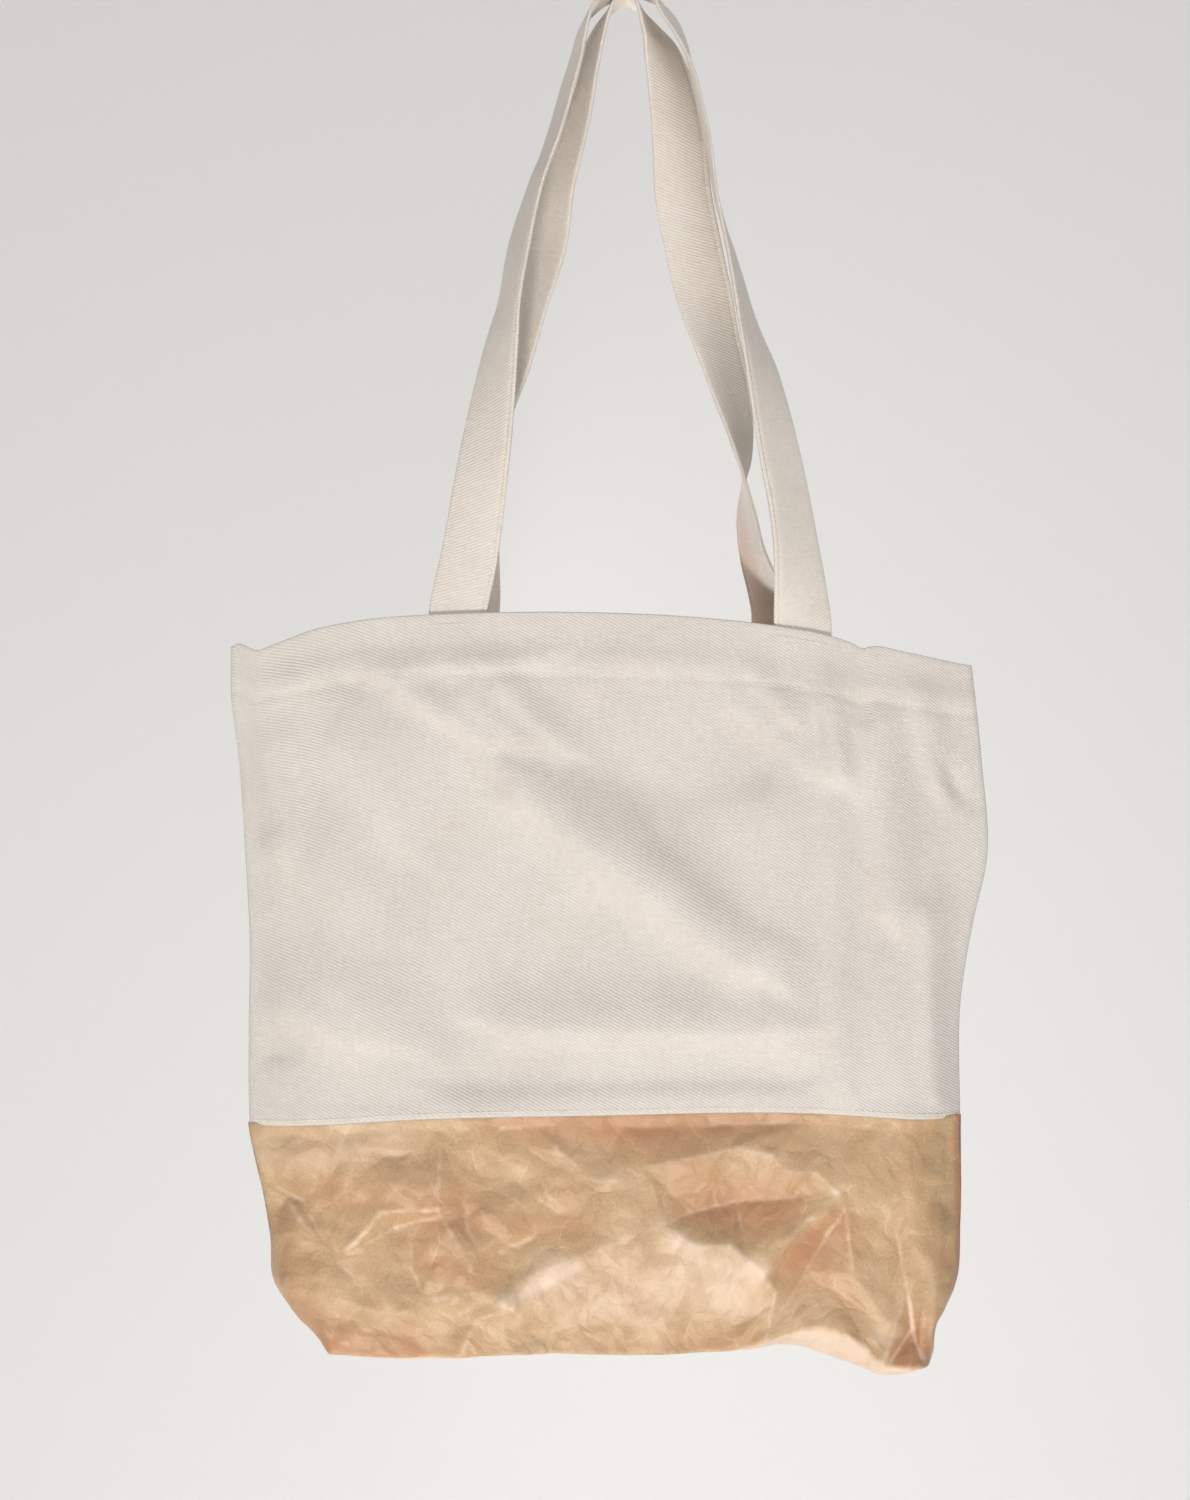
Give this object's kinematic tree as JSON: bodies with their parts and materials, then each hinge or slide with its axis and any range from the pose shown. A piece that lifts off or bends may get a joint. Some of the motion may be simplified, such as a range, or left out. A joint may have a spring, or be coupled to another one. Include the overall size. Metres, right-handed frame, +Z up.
{
  "type": "canvas tote bag",
  "caption": "Hanging open-topped tote bag: canvas upper walls with a turned hem, a boxed bottom of creased kraft paper, and a pair of long flat canvas handles.",
  "frame": {"origin": "the hang point: underside of the inner handle at the top of its arch, in the bag's middle plane", "axes": "+Z up, +X across the bag to the right as seen from its front, -Y towards the front"},
  "size_m": [0.3762, 0.057, 0.6911],
  "materials": {
    "canvas": "unbleached cotton twill canvas",
    "strap_canvas": "folded cotton twill canvas",
    "kraft_paper": "creased washable kraft paper",
    "thread": "cotton sewing thread"
  },
  "bodies": {
    "bag": {"front_canvas_panel": "canvas", "back_canvas_panel": "canvas", "kraft_bottom": "kraft_paper", "left_side_seam": "canvas", "right_side_seam": "canvas", "left_corner_seam": "kraft_paper", "right_corner_seam": "kraft_paper", "front_left_handle_end": "strap_canvas", "front_right_handle_end": "strap_canvas", "back_left_handle_end": "strap_canvas", "back_right_handle_end": "strap_canvas", "front_hem_stitches": "thread", "back_hem_stitches": "thread", "front_join_stitches": "thread", "back_join_stitches": "thread", "front_left_root_stitches": "thread", "front_right_root_stitches": "thread", "back_left_root_stitches": "thread", "back_right_root_stitches": "thread"},
    "front_handle": {"front_handle": "strap_canvas", "front_handle_stitches": "thread"},
    "back_handle": {"back_handle": "strap_canvas", "back_handle_stitches": "thread"}
  },
  "joints": [
    {"name": "front_handle_fold", "type": "hinge", "parent": "bag", "child": "front_handle", "pos_m": [0, -0.01405, -0.31395], "axis": [1, 0, 0], "range_deg": [0, 170]},
    {"name": "back_handle_fold", "type": "hinge", "parent": "bag", "child": "back_handle", "pos_m": [0, 0.01405, -0.31395], "axis": [-1, 0, 0], "range_deg": [0, 170]}
  ]
}
